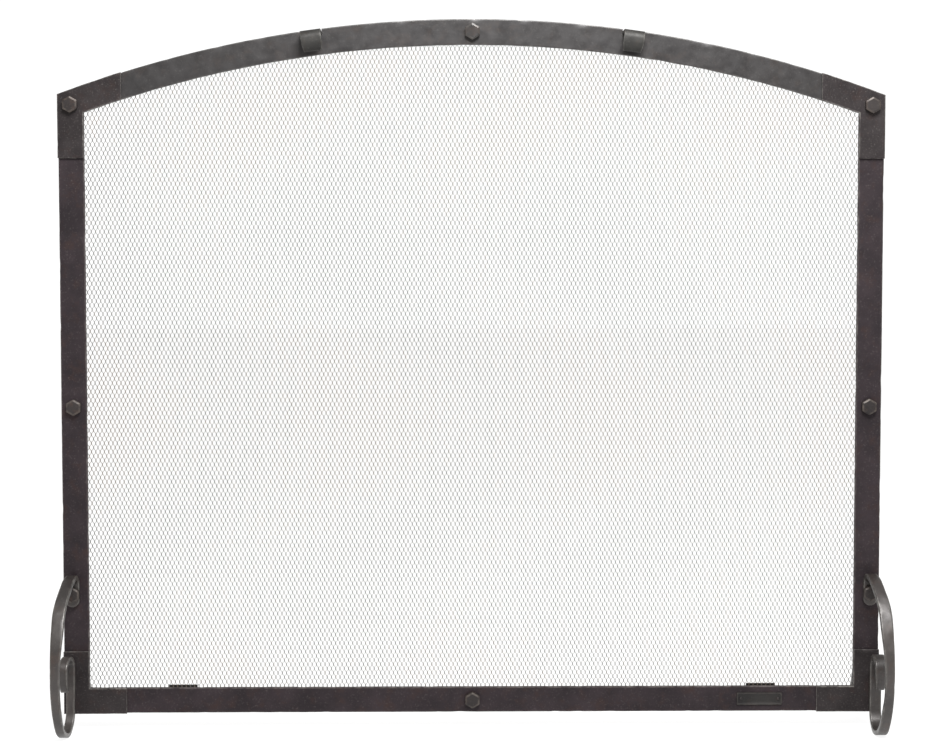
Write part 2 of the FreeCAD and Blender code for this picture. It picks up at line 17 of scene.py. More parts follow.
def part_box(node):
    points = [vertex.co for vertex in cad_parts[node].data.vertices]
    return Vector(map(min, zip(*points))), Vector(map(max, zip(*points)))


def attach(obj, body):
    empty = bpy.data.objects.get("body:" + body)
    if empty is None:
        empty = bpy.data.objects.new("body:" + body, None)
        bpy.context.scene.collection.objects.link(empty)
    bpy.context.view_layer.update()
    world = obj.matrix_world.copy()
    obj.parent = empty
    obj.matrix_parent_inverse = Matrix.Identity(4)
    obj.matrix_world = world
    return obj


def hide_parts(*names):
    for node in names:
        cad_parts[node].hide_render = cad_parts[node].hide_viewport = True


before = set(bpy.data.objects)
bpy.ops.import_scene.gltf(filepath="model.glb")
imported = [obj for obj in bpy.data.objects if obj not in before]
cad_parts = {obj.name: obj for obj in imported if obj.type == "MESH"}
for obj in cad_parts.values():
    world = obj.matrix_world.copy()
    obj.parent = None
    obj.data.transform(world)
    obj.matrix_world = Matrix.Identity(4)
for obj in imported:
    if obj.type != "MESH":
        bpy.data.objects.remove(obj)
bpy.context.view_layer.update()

MM = 0.001
LEFT, RIGHT = -1, 1
BELOW, ABOVE = -1, 1
SIDE_NAMES = {LEFT: "left", RIGHT: "right"}
BOLTS = ["crown", "bottom_rail"]
BOLTS += [f"{name}_{at}" for name in SIDE_NAMES.values() for at in ("corner", "middle", "foot")]

# Corner radii of the bars' sections, and the steps that draw the bars.
BAR_EDGE = 0.8 * MM
STRIP_EDGE = 0.45 * MM
FORGED_EDGE = 1.2 * MM
CORNER_STEPS = 3
SHOULDER = 0.9 * MM
RING_STEP = 4.0 * MM
PLATE_STEP = 3.0 * MM
PLATE_ARCH_POINTS = 9
FOOT_STEP = 3.5 * MM
LEG_STEP = 4.0 * MM
HANDLE_STEP = 2.0 * MM
ARC_STEP = 7.5
# A bar's end rounds over within this many corner radii.
END_CLEARANCE = 1.6

# How many dents, nicks and worn spots there are to a metre.
BROAD_DENTS, SMALL_DENTS = 38, 95
NICKS, WORN_SPOTS = 70, 120

# How deep the hammer marks and the edge nicks are on each kind of piece.
BAR_MARKS = (0.25 * MM, 0.9 * MM)
PLATE_MARKS = (0.2 * MM, 0.5 * MM)
STRIP_MARKS = (0.12 * MM, 0.3 * MM)
FOOT_MARKS = (0.35 * MM, 0.7 * MM)
LEG_MARKS = (0.25 * MM, 0.6 * MM)
HANDLE_MARKS = (0.3 * MM, 0.4 * MM)
BADGE_MARKS = (0.05 * MM, 0.1 * MM)

# How far a cutter reaches, the facets of a bored hole, and the edges that stay sharp.
CUT_REACH = 50.0 * MM
HOLE_CLEARANCE = 0.5 * MM
HOLE_FACETS = 32
CUT_SHARP = 50.0

# The mesh: its diamonds, and the bonds that join its strands.
MESH_PITCH_ACROSS = 5.07 * MM
MESH_PITCH_UP = 10.15 * MM
BOND_LENGTH = 2.3 * MM
BOND_WIDTH = 1.08 * MM
CROTCH = 0.26 * MM
RIDGE_DEPTH = 0.08 * MM
FLAT_DEPTH = 0.28 * MM
STRAND_LEAN = 0.24 * MM
BOND_REACH = BOND_LENGTH / 2 + CROTCH
# The numbers of a bond's eight points, at its top and at its bottom.
BOND_POINTS = 8
TOP = {LEFT: 0, RIGHT: 1, "crotch": 2, "ridge": 3}
BOTTOM = {LEFT: 4, RIGHT: 5, "crotch": 6, "ridge": 7}
TONE_SEED, TONE_SPREAD = 7, 0.9
TONE_LIMITS = (-0.6, 0.9)

# Fasteners. A head's corners reach a little less far than a sharp hexagon's.
CORNER_REACH = 0.975
BOLT_FLATS = 17.0 * MM
BOLT_HEAD = 7.0 * MM
BOLT_RADIUS = 5.0 * MM
BOLT_HOLE = 5.25 * MM
HEAD_BEVEL = 1.9 * MM
NUT_BEVEL = 0.8 * MM
BEVEL_ANGLE = 23.0
BOLT_SHARP = 20.0
THREAD_PITCH = 1.5 * MM
THREAD_DEPTH = 0.6 * MM
TIP_LENGTH = 0.5 * MM
TIP_STEP = 0.1 * MM
TIP_BEVEL = 0.7 * MM
RIVET_RADIUS = 3.0 * MM
RIVET_HEAD_RADIUS = 5.5 * MM
RIVET_HOLE = 3.25 * MM
SCREW_RADIUS = 2.0 * MM
SCREW_HEAD_RADIUS = 4.0 * MM
SCREW_HOLE = 2.25 * MM
PIN_HOLE = 1.25 * MM

# The blank badge's rim.
BADGE_RIM = 1.3 * MM
BADGE_SINK = 0.4 * MM
BADGE_CORNER = 1.5 * MM

# Lift handles: a strap on the arch's radius, drawn with the arch's outer edge at height 0.
HANDLE_OFFSET = 188.0 * MM
HANDLE_WIDTH = 24.5 * MM
HANDLE_TIP_WIDTH = 15.0 * MM
HANDLE_THICKNESS = 5.0 * MM
HANDLE_SINK = 1.5 * MM
HANDLE_REAR_LEG = 18.0 * MM
HANDLE_REAR_BEND = 3.5 * MM
HANDLE_TOP_RUN = 27.0 * MM
HANDLE_FRONT_BEND = 7.0 * MM
HANDLE_FRONT_DROP = 4.0 * MM
HANDLE_CURL_RADIUS = 10.0 * MM
HANDLE_CURL_TURN = 75.0
HANDLE_TAPER_START = 18.0 * MM
HANDLE_EDGE = 0.7 * FORGED_EDGE

# Scroll feet: outer radii of the arcs, from the lap on the stile round to the eye.
FOOT_HEIGHT = 185.4 * MM
FOOT_THICKNESS = 6.0 * MM
LAP_OFFSET = 471.0 * MM
LAP_WIDTH = 17.0 * MM
LAP_BOTTOM = 146.0 * MM
LAP_BEND_RADIUS = 13.4 * MM
CROWN_RADIUS = 80.0 * MM
FRONT_RADIUS = 136.0 * MM
LOWER_RADIUS = 92.0 * MM
HEEL_RADIUS = 28.0 * MM
RISER_HEIGHT = 75.0 * MM
EYE_RADIUS = 17.5 * MM
TIP_RADIUS = 30.0 * MM
CROWN_TURN, LOWER_TURN, SOLE_TURN, TIP_TURN = 61.0, 45.0, 45.0, 55.0
CROWN_DRAWN = 20.0
# Half the width at the tip of the lap's round end.
LAP_TIP = 2.2 * FORGED_EDGE
# The foot's distance from the middle and its width, in mm, at its start and at the end of each run:
# broad on the stile, then drawn narrow and outwards over the crown.
FOOT_SIDES = [(471, 17), (471, 16.5), (470.2, 13), (471, 13.6), (474.6, 14.6), (476.3, 11)]
# Below the front bow the two feet differ: the right one's scroll is wider and stands further out.
SCROLL_SIDES = {
    LEFT: [(476, 10.4), (474.5, 10.4), (472.5, 10.5), (472, 10.5), (476.2, 10.5), (476, 9.8)],
    RIGHT: [(475.7, 12.2), (475.7, 13), (475.9, 13.9), (475.9, 13.9), (476.4, 13), (477.4, 11)],
}

# Rear legs.
LEG_WIDTH = 18.0 * MM
LEG_THICKNESS = 6.0 * MM
LEG_LAP = 50.0 * MM
LEG_BEND_RADIUS = 30.0 * MM
TOE_BEND_RADIUS = 16.0 * MM
LEG_TURN = 31.0


# ---------------- measures read from the frame


def span(node, axis):
    """The node's lowest and highest place along an axis."""
    low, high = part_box(node)
    return low[axis], high[axis]


def middle(node):
    """The middle of the node's box."""
    low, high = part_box(node)
    return (low + high) / 2


HALF_WIDTH = span("right_stile", 0)[1]
BAR_WIDTH = HALF_WIDTH - span("right_stile", 0)[0]
BAR_FRONT, BAR_BACK = span("arch_bar", 1)
PLATE_FRONT = span("top_right_corner_plate", 1)[0]
RAIL_BOTTOM, RAIL_TOP = span("bottom_rail", 2)
ARCH_LOW, ARCH_TOP = span("arch_bar", 2)
# The arch's box runs from its crown down to its inner edge at the screen's side.
ARCH_DROP = ARCH_TOP - ARCH_LOW
ARCH_RADIUS = (ARCH_DROP**2 + HALF_WIDTH**2 - BAR_WIDTH**2) / (2 * (ARCH_DROP - BAR_WIDTH))
ARCH_CENTRE = ARCH_TOP - ARCH_RADIUS
MESH_EDGE = span("mesh_panel", 0)[1]
MESH_INSET = HALF_WIDTH - MESH_EDGE
MESH_BOTTOM = span("mesh_panel", 2)[0]
RETAINER_FRONT, RETAINER_BACK = span("arch_mesh_retainer", 1)
RETAINER_WIDTH = MESH_EDGE - span("bottom_mesh_retainer", 0)[1]


def arch_height(x, inset=0.0):
    """Height of the arch's outer edge, moved in by inset, at a distance from the middle."""
    return ARCH_CENTRE + np.sqrt((ARCH_RADIUS - inset) ** 2 - np.square(x))


def between(low, high, u):
    """The place between two edges for u from -1 to 1."""
    return low + (high - low) * (u + 1) / 2


# ---------------- making solids


def add_piece(node, mesh, material, name=None):
    """Puts a finished mesh on the frame in place of its CAD node."""
    piece = bpy.data.objects.new(name or f"{node}_finished", mesh)
    bpy.context.collection.objects.link(piece)
    mesh.materials.append(material)
    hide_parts(node)
    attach(piece, "root")


def mesh_from(name, points, faces, wear):
    """A closed, smooth mesh with its edge wear stored on its points."""
    mesh = bpy.data.meshes.new(name)
    mesh.from_pydata([tuple(point) for point in points], [], faces)
    mesh.attributes.new("wear", "FLOAT", "POINT").data.foreach_set("value", wear)
    work = bmesh.new()
    work.from_mesh(mesh)
    bmesh.ops.recalc_face_normals(work, faces=work.faces)
    for face in work.faces:
        face.smooth = True
    work.to_mesh(mesh)
    work.free()
    return mesh


def hammer(mesh, marks, seed):
    """Pushes the surface in: broad shallow hammer marks, and nicks where the edges are worn."""
    dent, nick = marks
    work = bmesh.new()
    work.from_mesh(mesh)
    work.normal_update()
    worn = work.verts.layers.float["wear"]
    shift = Vector((seed * 1.7, seed * 0.9, seed * 2.3))
    for vertex in work.verts:
        broad = noise.noise(vertex.co * BROAD_DENTS + shift)
        small = noise.noise(vertex.co * SMALL_DENTS + shift)
        # Both noises lie between -1 and 1, so no dent points outwards.
        depth = dent * (0.5 + 0.35 * broad + 0.15 * small)
        if vertex[worn] > 0:
            chip = noise.noise(vertex.co * NICKS - shift)
            depth += nick * max(0.0, chip - 0.15)
            vertex[worn] *= 0.55 + 0.45 * noise.noise(vertex.co * WORN_SPOTS + shift)
        vertex.co -= vertex.normal * depth
    work.to_mesh(mesh)
    work.free()


def bore(mesh, holes, notches=(), front=-CUT_REACH):
    """Cuts round holes at (x, z, radius) backwards from front, and notches that are placed unit cubes."""
    cutter = bmesh.new()
    turn = Matrix.Rotation(math.pi / 2, 4, "X")
    for x, z, radius in holes:
        bmesh.ops.create_cone(
            cutter,
            cap_ends=True,
            segments=HOLE_FACETS,
            radius1=radius,
            radius2=radius,
            depth=CUT_REACH - front,
            matrix=Matrix.Translation((x, (CUT_REACH + front) / 2, z)) @ turn,
        )
    for place in notches:
        bmesh.ops.create_cube(cutter, size=1.0, matrix=place)
    cutter_mesh = bpy.data.meshes.new("Cutter")
    cutter.to_mesh(cutter_mesh)
    cutter.free()
    tool = bpy.data.objects.new("Cutter", cutter_mesh)
    blank = bpy.data.objects.new("Blank", mesh)
    for item in (tool, blank):
        bpy.context.collection.objects.link(item)
    cut = blank.modifiers.new("Cut", "BOOLEAN")
    cut.operation = "DIFFERENCE"
    cut.solver = "EXACT"
    cut.object = tool
    bpy.context.view_layer.update()
    finished = blank.evaluated_get(bpy.context.evaluated_depsgraph_get())
    bored = bpy.data.meshes.new_from_object(finished)
    for item in (tool, blank):
        bpy.data.objects.remove(item)
    bored.materials.clear()
    bored.set_sharp_from_angle(angle=math.radians(CUT_SHARP))
    return bored


def band_faces(count, around, closed=False):
    """Quads between each ring of points and the next, and from the last to the first if closed."""
    faces = []
    for row in range(count if closed else count - 1):
        this, following = row * around, (row + 1) % count * around
        for k in range(around):
            j = (k + 1) % around
            faces.append((this + k, this + j, following + j, following + k))
    return faces


def half_section(width, thickness, radius, flats):
    """One broad side of a rounded bar section, from its left edge round to its right edge."""
    reach, depth = width / 2 - radius, thickness / 2 - radius
    shoulder = min(SHOULDER, reach / 4)
    corner = [math.radians(90 * step / CORNER_STEPS) for step in range(CORNER_STEPS + 1)]
    left = [(-reach - radius * math.cos(a), -depth - radius * math.sin(a), 1.0) for a in corner]
    flat = [(u, -thickness / 2, 0.0) for u in np.linspace(shoulder - reach, reach - shoulder, flats)]
    right = [(-u, v, worn) for u, v, worn in reversed(left)]
    return left + flat + right


def ring(width, thickness, radius, flats):
    """The whole rounded section as (u, v, wear), with u from -1 to 1 across the width."""
    lower = half_section(width, thickness, radius, flats)
    upper = [(u, -v, worn) for u, v, worn in reversed(lower)]
    return np.array([(2 * u / width, v, worn) for u, v, worn in lower + upper])


def sweep(name, stations, width, thickness, place, radius, flats=7):
    """A bar whose section follows stations along its length, with its ends rounded over.

    width gives the section's width at a station, and place puts (station, u, v) in the frame.
    """
    stations = np.asarray(stations, dtype=float)
    first, last = stations[0], stations[-1]
    rounding = [math.radians(90 * step / CORNER_STEPS) for step in range(CORNER_STEPS + 1)]
    insets = [(radius * (1 - math.cos(a)), radius * (1 - math.sin(a))) for a in rounding]
    clear = END_CLEARANCE * radius
    inner = stations[(stations > first + clear) & (stations < last - clear)]
    places = [(first + along, inset) for along, inset in insets]
    places += [(station, 0.0) for station in inner]
    places += [(last - along, inset) for along, inset in reversed(insets)]
    points, wear = [], []
    for station, inset in places:
        full = width(station)
        shape = ring(full - 2 * inset, thickness - 2 * inset, max(radius - inset, radius / 5), flats)
        u = shape[:, 0] * (full - 2 * inset) / full
        points.append(np.column_stack(place(station, u, shape[:, 1])))
        wear.append(np.ones(len(shape)) if inset > 0 else shape[:, 2])
    around = len(points[0])
    faces = band_faces(len(points), around)
    for start in (0, (len(points) - 1) * around):
        for k in range(around // 2 - 1):
            faces.append((start + k, start + k + 1, start + around - 2 - k, start + around - 1 - k))
    return mesh_from(name, np.vstack(points), faces, np.concatenate(wear))


def stations_along(first, last, step=RING_STEP):
    """Evenly spaced places from first to last, about a step apart."""
    return np.linspace(first, last, max(3, round((last - first) / step) + 1))


def loft(name, rings, wear):
    """A closed solid through rings of points that all have the same count, ending in fans."""
    around = len(rings[0])
    points = np.vstack([*rings, rings[0].mean(axis=0), rings[-1].mean(axis=0)])
    faces = band_faces(len(rings), around)
    final = (len(rings) - 1) * around
    for k in range(around):
        following = (k + 1) % around
        faces.append((k, following, len(points) - 2))
        faces.append((final + k, final + following, len(points) - 1))
    values = np.concatenate([np.repeat(wear, around), [wear[0], wear[-1]]])
    return mesh_from(name, points, faces, values)


def tube(name, rings, wear):
    """A solid with a hole through it: its rings run from one end of the hole round to the other."""
    around = len(rings[0])
    faces = band_faces(len(rings), around, closed=True)
    return mesh_from(name, np.vstack(rings), faces, np.repeat(wear, around))


# ---------------- materials


def set_inputs(node, values):
    for name, value in values.items():
        node.inputs[name].default_value = value


class Recipe:
    """A node material under construction, with short calls for the nodes that the finishes share."""

    def __init__(self, name):
        self.material = bpy.data.materials.new(name)
        self.material.use_nodes = True
        self.tree = self.material.node_tree
        self.tree.nodes.clear()
        output = self.add("OutputMaterial")
        self.shader = self.add("BsdfPrincipled")
        self.link(self.shader.outputs["BSDF"], output.inputs["Surface"])
        self.coordinates = self.add("TexCoord").outputs["Object"]

    def add(self, kind):
        return self.tree.nodes.new(f"ShaderNode{kind}")

    def link(self, source, target):
        self.tree.links.new(source, target)

    def noise(self, scale, detail, roughness):
        node = self.add("TexNoise")
        set_inputs(node, {"Scale": scale, "Detail": detail, "Roughness": roughness})
        self.link(self.coordinates, node.inputs["Vector"])
        return node.outputs["Fac"]

    def dimples(self, scale):
        node = self.add("TexVoronoi")
        node.feature = "SMOOTH_F1"
        set_inputs(node, {"Scale": scale, "Smoothness": 0.6})
        self.link(self.coordinates, node.inputs["Vector"])
        return node.outputs["Distance"]

    def remap(self, value, low, high, to_low=0.0, to_high=1.0):
        """Spreads the part of a value between low and high over a new range."""
        node = self.add("MapRange")
        set_inputs(node, {"From Min": low, "From Max": high, "To Min": to_low, "To Max": to_high})
        self.link(value, node.inputs["Value"])
        return node.outputs["Result"]

    def product(self, a, b):
        node = self.add("Math")
        node.operation = "MULTIPLY"
        self.link(a, node.inputs[0])
        self.link(b, node.inputs[1])
        return node.outputs[0]

    def wear(self):
        """How worn the surface is, as the mesh's own points say."""
        node = self.add("Attribute")
        node.attribute_name = "wear"
        return node.outputs["Fac"]

    def blend(self, factor, first, second):
        """Mixes two colours, each a plain colour or another node's output."""
        node = self.add("Mix")
        node.data_type = "RGBA"
        self.link(factor, node.inputs["Factor"])
        for socket, colour in ((node.inputs[6], first), (node.inputs[7], second)):
            if isinstance(colour, tuple):
                socket.default_value = (*colour, 1.0)
            else:
                self.link(colour, socket)
        return node.outputs[2]

    def bump(self, height, distance, under=None):
        """A relief of the given depth, laid over another one if there is one under it."""
        node = self.add("Bump")
        set_inputs(node, {"Strength": 1.0, "Distance": distance})
        self.link(height, node.inputs["Height"])
        if under is not None:
            self.link(under, node.inputs["Normal"])
        return node.outputs["Normal"]


# How fine each pattern in the finishes is: a higher scale gives smaller features.
MOTTLE_SCALE = 24
RUST_SCALE = 55
SHINE_SCALE = 70
DIMPLE_SCALE = 95
RUB_SCALE = 160
SPECK_SCALE = 520
GRAIN_SCALE = 850
GRAIN_DEPTH = 0.06 * MM


def patina(name, dark, mid, brown, bright, roughness, hammered=0.35 * MM, specular=0.32):
    """Blackened steel: mottled, warmer in patches, rubbed bright where its edges are worn."""
    recipe = Recipe(name)
    mottle = recipe.remap(recipe.noise(MOTTLE_SCALE, 6, 0.6), 0.34, 0.66)
    colour = recipe.blend(mottle, dark, mid)
    rust = recipe.remap(recipe.noise(RUST_SCALE, 5, 0.65), 0.52, 0.72, 0.0, 0.75)
    colour = recipe.blend(rust, colour, brown)
    speck = recipe.remap(recipe.noise(SPECK_SCALE, 3, 0.7), 0.58, 0.74, 0.0, 0.35)
    colour = recipe.blend(speck, colour, bright)
    patchy = recipe.remap(recipe.noise(RUB_SCALE, 4, 0.7), 0.36, 0.62)
    rubbed = recipe.product(recipe.wear(), patchy)
    colour = recipe.blend(rubbed, colour, bright)
    recipe.link(colour, recipe.shader.inputs["Base Color"])
    shine = recipe.noise(SHINE_SCALE, 5, 0.6)
    shine = recipe.remap(shine, 0.3, 0.7, roughness - 0.08, roughness + 0.1)
    recipe.link(shine, recipe.shader.inputs["Roughness"])
    set_inputs(recipe.shader, {"Metallic": 0.35, "Specular IOR Level": specular})
    grain = recipe.bump(recipe.noise(GRAIN_SCALE, 4, 0.7), GRAIN_DEPTH)
    surface = recipe.bump(recipe.dimples(DIMPLE_SCALE), hammered, grain)
    recipe.link(surface, recipe.shader.inputs["Normal"])
    return recipe.material


def plain_steel(name, colour, roughness, metallic):
    """One even tone of the mesh's steel, set on the shader itself."""
    recipe = Recipe(name)
    tone = {"Base Color": (*colour, 1.0), "Roughness": roughness, "Metallic": metallic}
    set_inputs(recipe.shader, tone)
    return recipe.material


ARCH_STEEL = patina(
    "arch_steel",
    dark=(0.012, 0.0105, 0.011),
    mid=(0.021, 0.0187, 0.0187),
    brown=(0.027, 0.0195, 0.0165),
    bright=(0.10, 0.095, 0.088),
    roughness=0.39,
    hammered=0.14 * MM,
    specular=0.72,
)
HANDLE_STEEL = patina(
    "handle_steel",
    dark=(0.019, 0.0182, 0.0172),
    mid=(0.033, 0.0318, 0.0294),
    brown=(0.035, 0.028, 0.023),
    bright=(0.13, 0.125, 0.115),
    roughness=0.5,
    specular=0.37,
)
FRAME_STEEL = patina(
    "frame_steel",
    dark=(0.015, 0.011, 0.013),
    mid=(0.028, 0.020, 0.023),
    brown=(0.032, 0.018, 0.016),
    bright=(0.13, 0.115, 0.11),
    roughness=0.54,
    specular=0.25,
)
PLATE_STEEL = patina(
    "plate_steel",
    dark=(0.015, 0.012, 0.0125),
    mid=(0.029, 0.024, 0.0245),
    brown=(0.032, 0.020, 0.018),
    bright=(0.24, 0.225, 0.21),
    roughness=0.50,
    specular=0.23,
)
FORGED_STEEL = patina(
    "forged_steel",
    dark=(0.022, 0.018, 0.017),
    mid=(0.044, 0.037, 0.034),
    brown=(0.045, 0.029, 0.023),
    bright=(0.125, 0.118, 0.106),
    roughness=0.38,
    specular=0.85,
)
REAR_STEEL = patina(
    "rear_steel",
    dark=(0.016, 0.014, 0.014),
    mid=(0.032, 0.028, 0.027),
    brown=(0.036, 0.022, 0.018),
    bright=(0.11, 0.10, 0.092),
    roughness=0.55,
)
FASTENER_STEEL = patina(
    "fastener_steel",
    dark=(0.014, 0.011, 0.011),
    mid=(0.027, 0.022, 0.021),
    brown=(0.060, 0.034, 0.024),
    bright=(0.095, 0.078, 0.066),
    roughness=0.46,
    hammered=0.05 * MM,
    specular=0.42,
)
CROWN_STEEL = patina(
    "crown_bolt_steel",
    dark=(0.009, 0.008, 0.008),
    mid=(0.018, 0.016, 0.0155),
    brown=(0.038, 0.022, 0.016),
    bright=(0.085, 0.074, 0.066),
    roughness=0.32,
    hammered=0.05 * MM,
    specular=0.75,
)
BADGE_METAL = patina(
    "badge_metal",
    dark=(0.012, 0.011, 0.011),
    mid=(0.022, 0.020, 0.019),
    brown=(0.028, 0.019, 0.015),
    bright=(0.065, 0.058, 0.052),
    roughness=0.42,
    hammered=0.03 * MM,
)
MESH_TONES = [
    plain_steel("mesh_steel_dark", (0.13, 0.122, 0.116), 0.50, 0.4),
    plain_steel("mesh_steel_grey", (0.19, 0.182, 0.174), 0.45, 0.4),
    plain_steel("mesh_steel_brown", (0.18, 0.145, 0.118), 0.52, 0.3),
]


# ---------------- where the fasteners go through


def hole_at(node, radius):
    """The hole for a fastener, as (x, z, radius)."""
    centre = middle(node)
    return centre.x, centre.z, radius


def bolt_holes(*names):
    return [hole_at(f"{name}_bolt", BOLT_HOLE) for name in names]


def on_both_sides(fastener, radius):
    return [hole_at(f"{name}_{fastener}", radius) for name in SIDE_NAMES.values()]


ARCH_HOLES = bolt_holes("crown", "left_corner", "right_corner")
ARCH_HOLES += on_both_sides("handle_rivet", RIVET_HOLE)


def pin_holes():
    """The badge's two pins are one node, so each hole is found from an end of its box."""
    low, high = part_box("badge_pins")
    radius = (high.z - low.z) / 2
    return [(x, (low.z + high.z) / 2, PIN_HOLE) for x in (low.x + radius, high.x - radius)]


# ---------------- bars, plates and strips


def flat_bar(name, mesh, holes, material, marks, seed, notches=()):
    """Hammers and bores a bar, plate or strip, and puts it in its CAD node's place."""
    hammer(mesh, marks, seed)
    if holes:
        mesh = bore(mesh, holes, notches)
    add_piece(name, mesh, material)


def strip(name, stations, width, outline, section):
    """A flat strip between its section's front and back; outline(along, u) gives its X and Z."""
    front, back, radius = section
    centre = (front + back) / 2

    def place(along, u, v):
        x, z = outline(along, u)
        return x, centre + v, z

    return sweep(name, stations, lambda along: width, back - front, place, radius)


def arch_strip(name, half_width, outer_inset, inner_inset, section):
    """A strip that follows the arch between two insets, cut off square with the screen's sides."""

    def outline(x, u):
        low, high = arch_height(x, inner_inset), arch_height(x, outer_inset)
        return np.full_like(u, x), between(low, high, u)

    stations = stations_along(-half_width, half_width)
    return strip(name, stations, inner_inset - outer_inset, outline, section)


def upright(name, side, inner, outer, bottom, inset, section):
    """A vertical strip whose top end meets the arch's curve at an inset."""
    height = arch_height(inner, inset) - bottom

    def outline(along, u):
        x = between(inner, outer, u)
        return side * x, bottom + along / height * (arch_height(x, inset) - bottom)

    return strip(name, stations_along(0, height), outer - inner, outline, section)


def level(name, left, right, bottom, top, section):
    """A horizontal strip."""

    def outline(x, u):
        return np.full_like(u, x), between(bottom, top, u)

    return strip(name, stations_along(left, right), top - bottom, outline, section)


def corner_plate(name, inner, outer, stops, width):
    """An L-shaped plate between its inner and outer edges, each a chain of points that turns once."""

    def edge(chain, along):
        return [np.interp(along, stops, [point[axis] for point in chain]) for axis in (0, 1)]

    def outline(along, u):
        (x0, z0), (x1, z1) = edge(inner, along), edge(outer, along)
        return between(x0, x1, u), between(z0, z1, u)

    steps = stations_along(stops[0], stops[-1], PLATE_STEP)
    steps = np.unique(np.concatenate([steps, stops]))
    return strip(name, steps, width, outline, (PLATE_FRONT, BAR_FRONT, STRIP_EDGE))


def handle_notch(side):
    """A slot in the arch's top edge, as a unit cube placed so that the handle's strap lies in it."""
    depth = HANDLE_SINK + HANDLE_THICKNESS + HOLE_CLEARANCE
    tilt = side * math.asin(HANDLE_OFFSET / ARCH_RADIUS)
    base = ARCH_RADIUS - depth
    at = Matrix.Translation((base * math.sin(tilt), 0, ARCH_CENTRE + base * math.cos(tilt)))
    size = Matrix.Diagonal((HANDLE_WIDTH + HOLE_CLEARANCE, 2 * CUT_REACH, 2 * depth, 1))
    return at @ Matrix.Rotation(tilt, 4, "Y") @ Matrix.Translation((0, 0, depth)) @ size


def frame_bars():
    """The arch bar, the bottom rail and the two stiles."""
    section = (BAR_FRONT, BAR_BACK, BAR_EDGE)
    arch = arch_strip("arch_bar", HALF_WIDTH, 0.0, BAR_WIDTH, section)
    notches = [handle_notch(side) for side in SIDE_NAMES]
    flat_bar("arch_bar", arch, ARCH_HOLES, ARCH_STEEL, BAR_MARKS, 1, notches)
    inner = HALF_WIDTH - BAR_WIDTH
    rail = level("bottom_rail", -inner, inner, RAIL_BOTTOM, RAIL_TOP, section)
    holes = bolt_holes("bottom_rail") + pin_holes()
    flat_bar("bottom_rail", rail, holes, FRAME_STEEL, BAR_MARKS, 2)
    for side, name in SIDE_NAMES.items():
        label = f"{name}_stile"
        bar = upright(label, side, inner, HALF_WIDTH, RAIL_BOTTOM, BAR_WIDTH, section)
        holes = bolt_holes(f"{name}_middle", f"{name}_foot")
        flat_bar(label, bar, holes, FRAME_STEEL, BAR_MARKS, 4 + side)


def top_plate_edges(end, inner_x, outer_x, bottom):
    """An upper plate's edges: along the arch from its end to the corner, then down the stile."""
    proud = outer_x - HALF_WIDTH
    inner_xs = np.linspace(end, inner_x, PLATE_ARCH_POINTS)
    share = (outer_x - end) / (inner_x - end)
    outer_xs = [end + (x - end) * share for x in inner_xs]
    inner = [(x, float(arch_height(x, BAR_WIDTH))) for x in inner_xs] + [(inner_x, bottom)]
    outer = [(x, float(arch_height(x, -proud))) for x in outer_xs] + [(outer_x, bottom)]
    drop = inner[-2][1] - bottom
    return inner, outer, list(inner_xs - end) + [inner_x - end + drop]


def bottom_plate_edges(end, inner_x, outer_x, bottom, top):
    """A lower plate's edges: along the bottom rail from its end to the corner, then up the stile."""
    inner = [(end, RAIL_TOP), (inner_x, RAIL_TOP), (inner_x, top)]
    outer = [(end, bottom), (outer_x, bottom), (outer_x, top)]
    return inner, outer, [0.0, inner_x - end, inner_x - end + top - RAIL_TOP]


def corner_plates():
    inner_x = HALF_WIDTH - BAR_WIDTH
    for side, name in SIDE_NAMES.items():
        for row in ("top", "bottom"):
            label = f"{row}_{name}_corner_plate"
            low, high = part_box(label)
            end, outer_x = sorted((abs(low.x), abs(high.x)))
            if row == "top":
                inner, outer, stops = top_plate_edges(end, inner_x, outer_x, low.z)
                holes = bolt_holes(f"{name}_corner")
            else:
                inner, outer, stops = bottom_plate_edges(end, inner_x, outer_x, low.z, high.z)
                holes = []
            inner = [(side * x, z) for x, z in inner]
            outer = [(side * x, z) for x, z in outer]
            plate = corner_plate(label, inner, outer, stops, outer_x - inner_x)
            flat_bar(label, plate, holes, PLATE_STEEL, PLATE_MARKS, 7 + side)


def rear_strip(label, mesh, holes, seed):
    flat_bar(label, mesh, holes, REAR_STEEL, STRIP_MARKS, seed)


def mesh_retainers():
    """The strips that clamp the mesh's edges, and the two clips over its lower edge."""
    section = (RETAINER_FRONT, RETAINER_BACK, STRIP_EDGE)
    far = MESH_INSET + RETAINER_WIDTH
    top_strip = arch_strip("arch_mesh_retainer", MESH_EDGE, MESH_INSET, far, section)
    rear_strip("arch_mesh_retainer", top_strip, ARCH_HOLES, 11)
    inner = MESH_EDGE - RETAINER_WIDTH
    low, high = span("bottom_mesh_retainer", 2)
    bottom_strip = level("bottom_mesh_retainer", -inner, inner, low, high, section)
    holes = bolt_holes("bottom_rail") + on_both_sides("clip_screw", SCREW_HOLE)
    rear_strip("bottom_mesh_retainer", bottom_strip, holes, 12)
    for side, name in SIDE_NAMES.items():
        label = f"{name}_mesh_retainer"
        side_strip = upright(label, side, inner, MESH_EDGE, MESH_BOTTOM, far, section)
        rear_strip(label, side_strip, bolt_holes(f"{name}_middle", f"{name}_foot"), 14 + side)
        label = f"{name}_mesh_clip"
        (left, near, bottom), (right, rear, top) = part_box(label)
        clip = level(label, left, right, bottom, top, (near, rear, STRIP_EDGE))
        rear_strip(label, clip, [hole_at(f"{name}_clip_screw", SCREW_HOLE)], 17 + side)


# ---------------- bent bars


